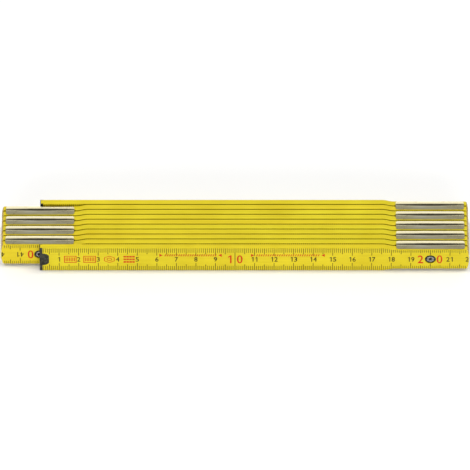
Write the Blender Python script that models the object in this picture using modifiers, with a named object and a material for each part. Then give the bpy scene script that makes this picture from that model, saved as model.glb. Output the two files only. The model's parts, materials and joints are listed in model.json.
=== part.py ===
"""A two-metre folding rule: ten wooden laths on nine riveted spring joints.

The rule is folded and lies on its long edges, as it does on a bench. X runs along the laths, Y from the
front lath to the back one, and Z up. The origin is under the middle of the folded bundle. Odd joints are
at +X and even ones at -X. Each joint is an empty on its pivot axis, which runs along Y: turn the empty
about Y and the segments in front of it swing with it.
"""

import math

import bmesh
import bpy
from mathutils import Matrix, Vector

MM = 0.001

# Driving dimensions
LATH_COUNT = 10
PIVOT_SPACING = 200 * MM  # from one joint to the next
LATH_WIDTH = 16 * MM
LATH_THICKNESS = 3 * MM
LATH_PITCH = 3.58 * MM  # from one lath to the next in the folded bundle
TIP_LENGTH = 19.8 * MM  # wood past the pivot
JOINT_LENGTH = 35 * MM  # the spring plates' length
CLEARANCE = 0.03 * MM  # between pieces that touch

# The narrow, thinned ends of a lath, which the spring plates wrap
NECK_WIDTH = 13.76 * MM
TIP_WIDTH = 13.6 * MM
NECK_REACH = 18.5 * MM  # from the pivot to where the lath starts to widen
SHOULDER_LENGTH = 6 * MM
TIP_BULGE = 0.9 * MM
RECESS_REACH = 18.2 * MM
RECESS_DEPTH = 0.3 * MM
BORE_RADIUS = 1.6 * MM
SINK_RADIUS = 2.9 * MM
SINK_DEPTH = 0.7 * MM

# Spring plates
SHEET = 0.35 * MM
PLATE_WIDTH = 15.2 * MM  # over the bends
FLANGE_LEAN = 0.3 * MM  # how far a flange leans in at its free edge
FLANGE_SHORTFALL = 0.4 * MM  # wood that stays in sight above a flange
PLATE_BOW = 0.16 * MM
BEND = 0.4 * MM
PLATE_CORNER = 0.8 * MM

# Rivets and their washers
RIVET_RADIUS = 1.5 * MM
RIVET_HEAD_RADIUS = 2.2 * MM
RIVET_HEAD_THICKNESS = 0.32 * MM
DIMPLE_RADIUS = 0.8 * MM
DIMPLE_DEPTH = 0.47 * MM
WASHER_RADIUS = 2.75 * MM
WASHER_BORE_RADIUS = 1.55 * MM
WASHER_THICKNESS = 0.3 * MM

# Steel caps on the free ends of the first and last laths
CAP_SHEET = 0.25 * MM
CAP_END_WALL = 0.3 * MM
CAP_LIP = 1.5 * MM
CAP_TAB_RADIUS = 4.25 * MM
CAP_TAB_CENTRE = 1.4 * MM  # from the end of the rule
CAP_TAB_REACH = 4.8 * MM
CAP_RIVET_X = 2.1 * MM  # from the end of the rule
CAP_RIVET_RADIUS = 0.75 * MM
CAP_RIVET_HEAD_RADIUS = 1.25 * MM
CAP_RIVET_HEAD_THICKNESS = 0.2 * MM
CAP_RIVET_GAP = 0.05 * MM

# How finely curves are drawn
ROUND_SIDES = 18
SMALL_ROUND_SIDES = 12
SHOULDER_STEPS = 4
TIP_STEPS = 6
TAB_STEPS = 8
OVERCUT = 2 * MM  # how far a cutter runs past the wood

HALF_SPACING = PIVOT_SPACING / 2
HALF_GAP = (LATH_PITCH - LATH_THICKNESS) / 2
SINK_FLOOR = HALF_GAP + LATH_THICKNESS - SINK_DEPTH  # from the middle of a joint
RULE_MID_HEIGHT = LATH_WIDTH / 2
TINY = 1e-7
FLAT_ANGLE = math.radians(0.1)  # faces closer than this to one plane become one face
SHARP_ANGLE = math.radians(35)  # steeper edges of round pieces stay sharp

YELLOW = (0.80, 0.62, 0.04, 1.0)
ZINC = (0.62, 0.60, 0.54, 1.0)
DARK_STEEL = (0.05, 0.055, 0.05, 1.0)


# ---------------------------------------------------------------- scene and materials


def clear_scene():
    for obj in list(bpy.data.objects):
        bpy.data.objects.remove(obj, do_unlink=True)


def new_collection(name):
    collection = bpy.data.collections.new(name)
    bpy.context.scene.collection.children.link(collection)
    return collection


def new_material(name, colour, roughness, metallic):
    material = bpy.data.materials.new(name)
    material.use_nodes = True
    shader = material.node_tree.nodes["Principled BSDF"]
    shader.inputs["Base Color"].default_value = colour
    shader.inputs["Roughness"].default_value = roughness
    shader.inputs["Metallic"].default_value = metallic
    return material


# ---------------------------------------------------------------- mesh helpers


def mesh_from(shape, name):
    """The bmesh as a mesh with its faces pointing out."""
    bmesh.ops.recalc_face_normals(shape, faces=shape.faces)
    mesh = bpy.data.meshes.new(name)
    shape.to_mesh(mesh)
    shape.free()
    return mesh


def evaluated_mesh(obj, name):
    """The object's mesh with its modifiers done."""
    bpy.context.view_layer.update()
    graph = bpy.context.evaluated_depsgraph_get()
    mesh = bpy.data.meshes.new_from_object(obj.evaluated_get(graph))
    mesh.name = name
    return mesh


def outline_mesh(name, outline, thickness):
    """A flat outline of (x, z) points, given its thickness evenly to both sides along Y."""
    curve = bpy.data.curves.new(name, "CURVE")
    curve.dimensions = "2D"
    curve.fill_mode = "BOTH"
    curve.extrude = thickness / 2
    spline = curve.splines.new("POLY")
    spline.points.add(len(outline) - 1)
    for point, (x, z) in zip(spline.points, outline):
        point.co = (x, z, 0, 1)
    spline.use_cyclic_u = True
    drawn = bpy.data.objects.new(name, curve)
    bpy.context.scene.collection.objects.link(drawn)
    flat = evaluated_mesh(drawn, name)
    bpy.data.objects.remove(drawn)
    shape = bmesh.new()
    shape.from_mesh(flat)
    bmesh.ops.remove_doubles(shape, verts=shape.verts, dist=TINY)
    bmesh.ops.dissolve_limit(shape, angle_limit=FLAT_ANGLE, verts=shape.verts, edges=shape.edges)
    bmesh.ops.rotate(shape, verts=shape.verts, matrix=Matrix.Rotation(math.pi / 2, 3, "X"))
    return mesh_from(shape, name)


def boxes_mesh(name, boxes):
    """Separate boxes in one mesh, each given by its lowest and highest corner."""
    shape = bmesh.new()
    for low, high in boxes:
        low, high = Vector(low), Vector(high)
        place = Matrix.Translation((low + high) / 2) @ Matrix.Diagonal((*(high - low), 1))
        bmesh.ops.create_cube(shape, size=1, matrix=place)
    return mesh_from(shape, name)


def pegs_mesh(name, pegs, radius, sides=ROUND_SIDES):
    """Separate round pegs along Y in one mesh, each given by its x, lowest y and highest y."""
    shape = bmesh.new()
    for x, low, high in pegs:
        place = Matrix.Translation((x, (low + high) / 2, 0)) @ Matrix.Rotation(math.pi / 2, 4, "X")
        bmesh.ops.create_cone(
            shape,
            cap_ends=True,
            segments=sides,
            radius1=radius,
            radius2=radius,
            depth=high - low,
            matrix=place,
        )
    return mesh_from(shape, name)


def cut_mesh(name, mesh, cutters, cutter_collection):
    """The mesh less each of the cutter meshes, which stay in the file as wire guides."""
    blank = bpy.data.objects.new(name, mesh)
    cutter_collection.objects.link(blank)
    for cutter_mesh in cutters:
        cutter = bpy.data.objects.new(cutter_mesh.name, cutter_mesh)
        cutter_collection.objects.link(cutter)
        cutter.hide_render = True
        cutter.display_type = "WIRE"
        boolean = blank.modifiers.new(cutter.name, "BOOLEAN")
        boolean.operation = "DIFFERENCE"
        boolean.object = cutter
    result = evaluated_mesh(blank, name)
    bpy.data.objects.remove(blank)
    return result


def turned_mesh(name, profile, sides=ROUND_SIDES):
    """A profile of (radius, height) points, top to bottom, turned about Y with its top at -Y."""
    shape = bmesh.new()
    points = [shape.verts.new((radius, 0, height)) for radius, height in profile]
    for upper, lower in zip(points, points[1:]):
        shape.edges.new((upper, lower))
    mesh = bpy.data.meshes.new(name)
    shape.to_mesh(mesh)
    shape.free()
    drawn = bpy.data.objects.new(name, mesh)
    bpy.context.scene.collection.objects.link(drawn)
    screw = drawn.modifiers.new("turn", "SCREW")
    screw.axis = "Z"
    screw.steps = sides
    screw.render_steps = sides
    screw.use_merge_vertices = True
    screw.merge_threshold = TINY
    turned = evaluated_mesh(drawn, name)
    bpy.data.objects.remove(drawn)
    shape = bmesh.new()
    shape.from_mesh(turned)
    bmesh.ops.remove_doubles(shape, verts=shape.verts, dist=TINY)
    bmesh.ops.rotate(shape, verts=shape.verts, matrix=Matrix.Rotation(math.pi / 2, 3, "X"))
    mesh = mesh_from(shape, name)
    mesh.shade_smooth()
    mesh.set_sharp_from_angle(angle=SHARP_ANGLE)
    return mesh


# ---------------------------------------------------------------- laths


def neck_side(end):
    """The upper edge of a narrow end (1 at +X, -1 at -X), from its tip inwards, as (x, z) points."""
    corner = HALF_SPACING + TIP_LENGTH - TIP_BULGE
    points = [(end * corner, TIP_WIDTH / 2)]
    for step in range(SHOULDER_STEPS + 1):
        share = step / SHOULDER_STEPS
        rise = share * share * (3 - 2 * share)
        x = HALF_SPACING - NECK_REACH - SHOULDER_LENGTH * share
        points.append((end * x, NECK_WIDTH / 2 + rise * (LATH_WIDTH - NECK_WIDTH) / 2))
    return points


def tip_arc(end):
    """The bowed tip between its two corners, from bottom to top, without the corners."""
    points = []
    for step in range(1, TIP_STEPS):
        z = TIP_WIDTH / 2 * (2 * step / TIP_STEPS - 1)
        bulge = TIP_BULGE * (1 - (2 * z / TIP_WIDTH) ** 2)
        points.append((end * (HALF_SPACING + TIP_LENGTH - TIP_BULGE + bulge), z))
    return points


def mirrored(points):
    """The points reflected in the lath's centreline, in the opposite order."""
    return [(x, -z) for x, z in reversed(points)]


def middle_outline():
    right, left = neck_side(1), neck_side(-1)
    return tip_arc(1) + right + left[::-1] + tip_arc(-1)[::-1] + mirrored(left[::-1]) + mirrored(right)


def capped_outline():
    """A lath with one narrow end at +X and one square end, which stops inside its cap, at -X."""
    right = neck_side(1)
    end = -HALF_SPACING + CAP_END_WALL + CLEARANCE
    square = [(end, LATH_WIDTH / 2), (end, -LATH_WIDTH / 2)]
    return tip_arc(1) + right + square + mirrored(right)


def recess_box(end, face):
    """The shallow seat of a spring plate, at one end (1 or -1) and on one face (-1 is the front)."""
    near = end * (HALF_SPACING - RECESS_REACH)
    far = end * (HALF_SPACING + TIP_LENGTH + OVERCUT)
    floor = face * (LATH_THICKNESS / 2 - RECESS_DEPTH)
    outside = face * (LATH_THICKNESS / 2 + OVERCUT)
    low = (min(near, far), min(floor, outside), -LATH_WIDTH)
    high = (max(near, far), max(floor, outside), LATH_WIDTH)
    return low, high


def bore_peg(end):
    return end * HALF_SPACING, -LATH_THICKNESS, LATH_THICKNESS


def sink_peg(end, face):
    """The counterbore for a washer and a rivet head."""
    floor = face * (LATH_THICKNESS / 2 - SINK_DEPTH)
    outside = face * (LATH_THICKNESS / 2 + OVERCUT)
    return end * HALF_SPACING, min(floor, outside), max(floor, outside)


def middle_lath_mesh(cutters):
    """A lath with joints at both ends: the seat is on the front at -X and on the back at +X."""
    blank = outline_mesh("middle_lath", middle_outline(), LATH_THICKNESS)
    seats = boxes_mesh("middle_seats", [recess_box(-1, -1), recess_box(1, 1)])
    bores = pegs_mesh("middle_bores", [bore_peg(-1), bore_peg(1)], BORE_RADIUS)
    sinks = pegs_mesh("middle_sinks", [sink_peg(-1, 1), sink_peg(1, -1)], SINK_RADIUS)
    return cut_mesh("middle_lath", blank, [seats, bores, sinks], cutters)


def capped_lath_mesh(cutters):
    """The first lath: capped at -X, with its one spring plate's seat on the back at +X."""
    blank = outline_mesh("capped_lath", capped_outline(), LATH_THICKNESS)
    seat = boxes_mesh("capped_seat", [recess_box(1, 1)])
    bore = pegs_mesh("capped_bore", [bore_peg(1)], BORE_RADIUS)
    sink = pegs_mesh("capped_sink", [sink_peg(1, -1)], SINK_RADIUS)
    rebates = cap_rebates_mesh()
    return cut_mesh("capped_lath", blank, [seat, bore, sink, rebates, cap_bore_mesh()], cutters)


# ---------------------------------------------------------------- end caps


def cap_outline(grown, overhang):
    """A lip across the end with a round tab clipped at its tip, grown by a gap and run past the wood."""
    start = -HALF_SPACING - overhang
    side = LATH_WIDTH / 2 + overhang
    lip = -HALF_SPACING + CAP_LIP + grown
    radius = CAP_TAB_RADIUS + grown
    centre = -HALF_SPACING + CAP_TAB_CENTRE
    tip = -HALF_SPACING + CAP_TAB_REACH + grown
    first = math.acos((lip - centre) / radius)
    last = math.acos((tip - centre) / radius)
    arc = []
    for step in range(TAB_STEPS + 1):
        angle = first + (last - first) * step / TAB_STEPS
        arc.append((centre + radius * math.cos(angle), radius * math.sin(angle)))
    upper = [(start, side), (lip, side), *arc]
    return upper + mirrored(upper)


def cap_bore_mesh():
    """The hole for the small rivet that holds a cap, through the wood and both lips."""
    peg = (-HALF_SPACING + CAP_RIVET_X, -LATH_THICKNESS, LATH_THICKNESS)
    return pegs_mesh("cap_bore", [peg], CAP_RIVET_RADIUS + CAP_RIVET_GAP, SMALL_ROUND_SIDES)


def cap_rebates_mesh():
    """Two shallow cap-shaped plates that let the cap into both faces of the wood."""
    depth = CAP_SHEET + CLEARANCE
    outline = cap_outline(CLEARANCE, OVERCUT)
    plate = outline_mesh("rebate", outline, depth + OVERCUT)
    shift = (LATH_THICKNESS - depth + OVERCUT) / 2
    shape = bmesh.new()
    for side in (-1, 1):
        before = set(shape.verts)
        shape.from_mesh(plate)
        moved = [vert for vert in shape.verts if vert not in before]
        bmesh.ops.translate(shape, verts=moved, vec=(0, side * shift, 0))
    return mesh_from(shape, "cap_rebates")


def cap_mesh(cutters):
    """A clip of thin steel over the end of a lath, open along both long edges."""
    blank = outline_mesh("cap", cap_outline(0, 0), LATH_THICKNESS)
    core_half = LATH_THICKNESS / 2 - CAP_SHEET
    start = -HALF_SPACING + CAP_END_WALL
    low = (start, -core_half, -LATH_WIDTH)
    high = (start + PIVOT_SPACING, core_half, LATH_WIDTH)
    core = boxes_mesh("cap_core", [(low, high)])
    return cut_mesh("cap", blank, [core, cap_bore_mesh()], cutters)


# ---------------------------------------------------------------- spring plates


def plate_section(u, edge):
    """The outside of a spring plate across the lath, at u from its middle, as (y, z) points."""
    bow = PLATE_BOW * (1 - (2 * u / JOINT_LENGTH) ** 2)
    base = CLEARANCE + bow
    half = PLATE_WIDTH / 2
    side = [(edge, half - FLANGE_LEAN), (base + BEND, half), (base, half - BEND)]
    return side + [(y, -z) for y, z in reversed(side)]


def plate_mesh(cutters):
    """A bowed spring plate with a flange along each long edge, standing up towards +Y."""
    full_edge = HALF_GAP + LATH_THICKNESS - FLANGE_SHORTFALL
    end = JOINT_LENGTH / 2
    stations = [
        (end, full_edge - PLATE_CORNER),
        (end - PLATE_CORNER, full_edge),
        (end / 2, full_edge),
        (0, full_edge),
        (-end / 2, full_edge),
        (-end + PLATE_CORNER, full_edge),
        (-end, full_edge - PLATE_CORNER),
    ]
    shape = bmesh.new()
    rows = []
    for u, edge in stations:
        rows.append([shape.verts.new((u, y, z)) for y, z in plate_section(u, edge)])
    for row, following in zip(rows, rows[1:]):
        for i in range(len(row) - 1):
            shape.faces.new((row[i], following[i], following[i + 1], row[i + 1]))
    mesh = bpy.data.meshes.new("plate_surface")
    shape.to_mesh(mesh)
    shape.free()
    drawn = bpy.data.objects.new("plate_surface", mesh)
    bpy.context.scene.collection.objects.link(drawn)
    solidify = drawn.modifiers.new("sheet", "SOLIDIFY")
    solidify.thickness = SHEET
    solidify.offset = -1
    solidify.use_even_offset = True
    blank = evaluated_mesh(drawn, "plate_blank")
    bpy.data.objects.remove(drawn)
    hole = pegs_mesh("plate_hole", [(0, -OVERCUT, OVERCUT)], BORE_RADIUS)
    return cut_mesh("plate", blank, [hole], cutters)


# ---------------------------------------------------------------- rivets and washers


def rivet_mesh():
    """A rivet with a dimpled head at each end, about the middle of its length."""
    head_under = SINK_FLOOR + WASHER_THICKNESS + 2 * CLEARANCE
    head_top = head_under + RIVET_HEAD_THICKNESS
    soft = RIVET_HEAD_THICKNESS / 3
    upper = [
        (0, head_top - DIMPLE_DEPTH),
        (DIMPLE_RADIUS, head_top - DIMPLE_DEPTH),
        (DIMPLE_RADIUS, head_top - soft),
        (DIMPLE_RADIUS + soft, head_top),
        (RIVET_HEAD_RADIUS - soft, head_top),
        (RIVET_HEAD_RADIUS, head_top - soft),
        (RIVET_HEAD_RADIUS, head_under),
        (RIVET_RADIUS, head_under),
    ]
    lower = [(radius, -height) for radius, height in reversed(upper)]
    return turned_mesh("rivet", upper + lower)


def cap_rivet_mesh():
    """The small rivet through an end cap, whose low heads stand on the cap's faces."""
    under = LATH_THICKNESS / 2 + CLEARANCE
    top = under + CAP_RIVET_HEAD_THICKNESS
    upper = [
        (0, top),
        (CAP_RIVET_HEAD_RADIUS / 2, top),
        (CAP_RIVET_HEAD_RADIUS, top - CAP_RIVET_HEAD_THICKNESS / 2),
        (CAP_RIVET_HEAD_RADIUS, under),
        (CAP_RIVET_RADIUS, under),
    ]
    lower = [(radius, -height) for radius, height in reversed(upper)]
    return turned_mesh("cap_rivet", upper + lower, SMALL_ROUND_SIDES)


def washer_mesh():
    half = WASHER_THICKNESS / 2
    inner, outer = WASHER_BORE_RADIUS, WASHER_RADIUS
    loop = [(inner, half), (outer, half), (outer, -half), (inner, -half), (inner, half)]
    return turned_mesh("washer", loop)


# ---------------------------------------------------------------- assembly


def lath_y(number):
    """The middle of a lath's thickness; laths count from 1 at the front."""
    return (number - (LATH_COUNT + 1) / 2) * LATH_PITCH


def joint_place(number):
    """The point on a joint's axis halfway between its two laths; joint 1 joins laths 1 and 2."""
    x = HALF_SPACING if number % 2 else -HALF_SPACING
    return Vector((x, lath_y(number) + LATH_PITCH / 2, RULE_MID_HEIGHT))


class Assembly:
    """Places pieces under the empties that stand on the joints' axes."""

    def __init__(self):
        self.collection = new_collection("folding_rule")
        self.pivots = {}

    def add_pivots(self):
        """The last segment is fixed; each other segment turns on the joint that ties it to the next."""
        for number in range(LATH_COUNT, 0, -1):
            last = number == LATH_COUNT
            pivot = bpy.data.objects.new(f"segment_{number:02d}_pivot", None)
            pivot.empty_display_size = LATH_WIDTH
            self.collection.objects.link(pivot)
            place = Vector((0, lath_y(number), RULE_MID_HEIGHT)) if last else joint_place(number)
            if not last:
                pivot.parent = self.pivots[number + 1][0]
                pivot.location = place - self.pivots[number + 1][1]
            else:
                pivot.location = place
            self.pivots[number] = (pivot, place)

    def add(self, name, mesh, material, segment, place, rotation=(0, 0, 0)):
        """One piece, at a place in the folded rule, which moves with a segment."""
        if not mesh.materials:
            mesh.materials.append(material)
        piece = bpy.data.objects.new(name, mesh)
        self.collection.objects.link(piece)
        pivot, pivot_place = self.pivots[segment]
        piece.parent = pivot
        piece.location = Vector(place) - pivot_place
        piece.rotation_euler = rotation


def add_laths(rule, cutters, wood):
    middle = middle_lath_mesh(cutters)
    capped = capped_lath_mesh(cutters)
    for number in range(1, LATH_COUNT + 1):
        place = (0, lath_y(number), RULE_MID_HEIGHT)
        if number == 1:
            mesh, rotation = capped, (0, 0, 0)
        elif number == LATH_COUNT:
            mesh, rotation = capped, (math.pi, 0, 0)
        else:
            mesh = middle
            rotation = (0, 0, 0) if number % 2 else (0, math.pi, 0)
        rule.add(f"lath_{number:02d}", mesh, wood, number, place, rotation)


def add_caps(rule, cutters, steel):
    cap = cap_mesh(cutters)
    rivet = cap_rivet_mesh()
    for end, number in (("first", 1), ("last", LATH_COUNT)):
        place = Vector((0, lath_y(number), RULE_MID_HEIGHT))
        rule.add(f"end_cap_{end}", cap, steel, number, place)
        rivet_offset = Vector((CAP_RIVET_X - HALF_SPACING, 0, 0))
        rule.add(f"end_cap_rivet_{end}", rivet, steel, number, place + rivet_offset)


def add_joints(rule, cutters, zinc, steel):
    plate = plate_mesh(cutters)
    rivet = rivet_mesh()
    washer = washer_mesh()
    washer_offset = Vector((0, SINK_FLOOR + CLEARANCE + WASHER_THICKNESS / 2, 0))
    for number in range(1, LATH_COUNT):
        place = joint_place(number)
        front, back = number, number + 1
        rule.add(f"spring_plate_front_{number:02d}", plate, zinc, front, place, (math.pi, 0, 0))
        rule.add(f"spring_plate_back_{number:02d}", plate, zinc, back, place)
        rule.add(f"rivet_{number:02d}", rivet, zinc, back, place)
        rule.add(f"washer_front_{number:02d}", washer, steel, front, place - washer_offset)
        rule.add(f"washer_back_{number:02d}", washer, steel, back, place + washer_offset)


def main():
    clear_scene()
    rule = Assembly()
    cutters = new_collection("cutters")
    wood = new_material("yellow_lacquered_wood", YELLOW, 0.35, 0.0)
    zinc = new_material("zinc_plated_spring_steel", ZINC, 0.3, 1.0)
    steel = new_material("blackened_steel", DARK_STEEL, 0.4, 0.8)
    rule.add_pivots()
    add_laths(rule, cutters, wood)
    add_caps(rule, cutters, steel)
    add_joints(rule, cutters, zinc, steel)


main()
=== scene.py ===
"""Looks of a folded two-metre folding rule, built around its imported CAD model.

Every visible piece is built here in the CAD model's frame, in metres, and rides on the segment it
belongs to. Pieces are placed from the CAD nodes' boxes and the joints' positions.
"""

import json
import math

import bmesh
import bpy
import numpy as np
from mathutils import Matrix, Vector


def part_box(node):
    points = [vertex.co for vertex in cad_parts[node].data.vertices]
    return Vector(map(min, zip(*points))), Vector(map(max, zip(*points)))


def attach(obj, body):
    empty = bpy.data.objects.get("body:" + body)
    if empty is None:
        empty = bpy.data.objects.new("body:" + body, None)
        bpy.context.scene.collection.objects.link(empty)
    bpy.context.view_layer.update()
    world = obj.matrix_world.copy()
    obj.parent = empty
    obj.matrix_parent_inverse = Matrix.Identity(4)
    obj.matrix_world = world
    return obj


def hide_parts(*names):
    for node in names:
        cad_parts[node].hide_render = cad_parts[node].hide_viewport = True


MM = 0.001
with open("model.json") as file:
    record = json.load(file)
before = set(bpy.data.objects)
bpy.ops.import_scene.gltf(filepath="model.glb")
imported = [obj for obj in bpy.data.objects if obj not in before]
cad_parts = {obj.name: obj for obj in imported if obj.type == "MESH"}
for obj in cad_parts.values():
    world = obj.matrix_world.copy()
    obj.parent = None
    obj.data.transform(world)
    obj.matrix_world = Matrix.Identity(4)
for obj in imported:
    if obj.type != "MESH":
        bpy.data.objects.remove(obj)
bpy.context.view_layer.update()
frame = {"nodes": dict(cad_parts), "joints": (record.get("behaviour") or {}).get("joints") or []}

# ---------------------------------------------------------------- what the CAD says

LATH_COUNT = sum(name.startswith("lath_") for name in frame["nodes"])
PIVOTS = {int(j["name"].split("_")[-1]): Vector(j["pos_m"]) for j in frame["joints"]}
LATH_BOXES = {k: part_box(f"lath_{k:02d}") for k in range(1, LATH_COUNT + 1)}
LATH_Y = {k: (low.y + high.y) / 2 for k, (low, high) in LATH_BOXES.items()}
THICKNESS = LATH_BOXES[1][1].y - LATH_BOXES[1][0].y
WIDTH = LATH_BOXES[1][1].z - LATH_BOXES[1][0].z
MID_Z = (LATH_BOXES[1][1].z + LATH_BOXES[1][0].z) / 2
TIP_X = LATH_BOXES[2][1].x
PIVOT_X = abs(PIVOTS[1].x)
CAP_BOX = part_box("end_cap_first")
PLATE_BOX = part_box("spring_plate_back_01")

# ---------------------------------------------------------------- sizes that only the looks need

SAME_POINT = 1e-7  # points closer than this are made one
SAME_PLANE = math.radians(0.05)  # faces that meet flatter than this are made one
EDGE_ROUND = 0.15 * MM
NECK_HALF = 6.88 * MM  # half the wood's width where a spring plate wraps it
TIP_HALF = 6.8 * MM
SHOULDER_FROM = PIVOT_X - 18.5 * MM
SHOULDER_LENGTH = 6 * MM
SHOULDER_STEPS = 14
TIP_BULGE = 0.9 * MM
TIP_CORNER = 0.9 * MM
CORNER_BULGE = TIP_BULGE * 0.97  # how far back the tip's curve is at its corner
TIP_STEPS = 5
RECESS_FROM = PIVOT_X - 18.2 * MM
RECESS_DEPTH = 0.3 * MM
SINK_RADIUS = 2.88 * MM
SINK_DEPTH = 0.7 * MM

CAP_WALL = 0.33 * MM  # from the rule's end to the wood's
CAP_SHEET = 0.25 * MM
CAP_LIP = 1.5 * MM
CAP_TAB_CENTRE = 1.4 * MM  # from the rule's end
CAP_TAB_RADIUS = 4.25 * MM
CAP_TAB_STEPS = 16
SEAT_PLAY = 0.04 * MM  # between a cap's outline and its bed in the wood
SEAT_SINK = 0.02 * MM  # how much deeper the bed is than the cap's sheet

SHEET = 0.35 * MM  # of a spring plate
PLATE_BEND = 0.6 * MM
FLANGE_LEAN = 0.42 * MM
FLANGE_CORNER = 1.1 * MM
PLATE_BOW = 0.17 * MM
PLATE_BORE = 1.6 * MM
ARC_STEPS = 5  # in a plate's bends and corners
DIMPLE = 0.8 * MM  # the radius of the dimple in a rivet's head
HEAD_RIM = 2.2 * MM
HEAD_ROLL = 0.2 * MM  # how far the roll of a rivet's head stands up
WASHER_BORE = 1.55 * MM
WASHER_ROUND = 0.06 * MM

INK = 0.014 * MM  # how far the print stands off the lacquer
INK_ROOT = 0.006 * MM
RED_LIFT = 0.004 * MM  # red ink lies over black
CM = 10 * MM
MM_TICK = 3.2 * MM
HALF_CM_TICK = 4.3 * MM
CM_TICK = 5.3 * MM
TICK_PAST_FLAT = 0.03 * MM  # how far a tick runs onto the rounded edge
RIVET_TICK_FROM = 3.1 * MM  # where the tick at a rivet starts, clear of the washer
BESIDE_DECADE = 0.4 * MM  # how much longer than a millimetre's the tick beside a decade's numeral is
THIN_LINE = 0.25 * MM
THICK_LINE = 0.3 * MM
RED_LINE = 0.42 * MM
NUMERAL = 3.3 * MM
NUMERAL_FROM_100 = 2.8 * MM
DECADE_NUMERAL = 5.7 * MM
DECADE_NUMERAL_FROM_100 = 3.6 * MM
DIGIT_WIDTH = 0.5  # of every digit's box, as a share of its height
DIGIT_SPACE = 0.1  # between digits
OVER_PIVOT = 1.85  # cm of scale past a pivot
RECESSED = 1.9  # cm next to a pivot that a spring plate hides
CAP_HIDES = 0.2  # cm of scale under an end cap
SCALE_PER_LATH = 20  # cm


def smooth_step(t):
    t = min(max(t, 0.0), 1.0)
    return t * t * (3 - 2 * t)


# ---------------------------------------------------------------- objects and meshes


def new_object(name, mesh, body, materials, replaced=()):
    """A visible piece that rides on a body and stands for CAD nodes."""
    obj = bpy.data.objects.new(name, mesh)
    bpy.context.scene.collection.objects.link(obj)
    if not mesh.materials:
        for material in materials:
            mesh.materials.append(material)
    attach(obj, body)
    if replaced:
        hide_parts(*replaced)
    return obj


def place(obj, location, rotation=(0, 0, 0)):
    obj.location = location
    obj.rotation_euler = rotation


def to_mesh(shape, name):
    bmesh.ops.recalc_face_normals(shape, faces=shape.faces)
    mesh = bpy.data.meshes.new(name)
    shape.to_mesh(mesh)
    shape.free()
    return mesh


def evaluated(obj, name):
    """The object's mesh with its modifiers done; the object itself is removed."""
    bpy.context.view_layer.update()
    graph = bpy.context.evaluated_depsgraph_get()
    mesh = bpy.data.meshes.new_from_object(obj.evaluated_get(graph))
    mesh.name = name
    bpy.data.objects.remove(obj)
    return mesh


def temporary(mesh):
    obj = bpy.data.objects.new(mesh.name, mesh)
    bpy.context.scene.collection.objects.link(obj)
    return obj


def combined(mesh, others, operation):
    """The mesh with the others cut from it or joined to it."""
    blank = temporary(mesh)
    tools = []
    for other in others:
        tool = temporary(other)
        tools.append(tool)
        boolean = blank.modifiers.new("boolean", "BOOLEAN")
        boolean.operation = operation
        boolean.solver = "EXACT"
        boolean.object = tool
    result = evaluated(blank, mesh.name)
    for tool in tools:
        bpy.data.objects.remove(tool)
    return result


def cylinder(name, centre, radius, low, high, sides=48):
    """A round peg along Y."""
    shape = bmesh.new()
    turn = Matrix.Rotation(math.pi / 2, 4, "X")
    move = Matrix.Translation((centre[0], (low + high) / 2, centre[1]))
    bmesh.ops.create_cone(
        shape,
        cap_ends=True,
        segments=sides,
        radius1=radius,
        radius2=radius,
        depth=high - low,
        matrix=move @ turn,
    )
    return to_mesh(shape, name)


def box_mesh(name, low, high):
    shape = bmesh.new()
    low, high = Vector(low), Vector(high)
    matrix = Matrix.Translation((low + high) / 2) @ Matrix.Diagonal((*(high - low), 1))
    bmesh.ops.create_cube(shape, size=1, matrix=matrix)
    return to_mesh(shape, name)


def turned(name, profile, sides):
    """A piece turned about Y from (radius, y) points that start and end on the axis or make a loop."""
    shape = bmesh.new()
    rings = []
    for radius, y in profile:
        if radius == 0:
            rings.append([shape.verts.new((0, y, 0))] * sides)
            continue
        ring = []
        for i in range(sides):
            angle = 2 * math.pi * i / sides
            ring.append(shape.verts.new((radius * math.cos(angle), y, radius * math.sin(angle))))
        rings.append(ring)
    for upper, lower in zip(rings, rings[1:]):
        for i in range(sides):
            j = (i + 1) % sides
            corners = dict.fromkeys((upper[i], upper[j], lower[j], lower[i]))
            shape.faces.new(list(corners))
    return to_mesh(shape, name)


def soften(mesh, degrees):
    mesh.shade_smooth()
    mesh.set_sharp_from_angle(angle=math.radians(degrees))
    return mesh


def weigh_normals(obj):
    """Keeps broad flat faces flat where they meet small rounded edges."""
    weighted = obj.modifiers.new("normals", "WEIGHTED_NORMAL")
    weighted.keep_sharp = True
    weighted.weight = 100


# ---------------------------------------------------------------- procedural materials


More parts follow.
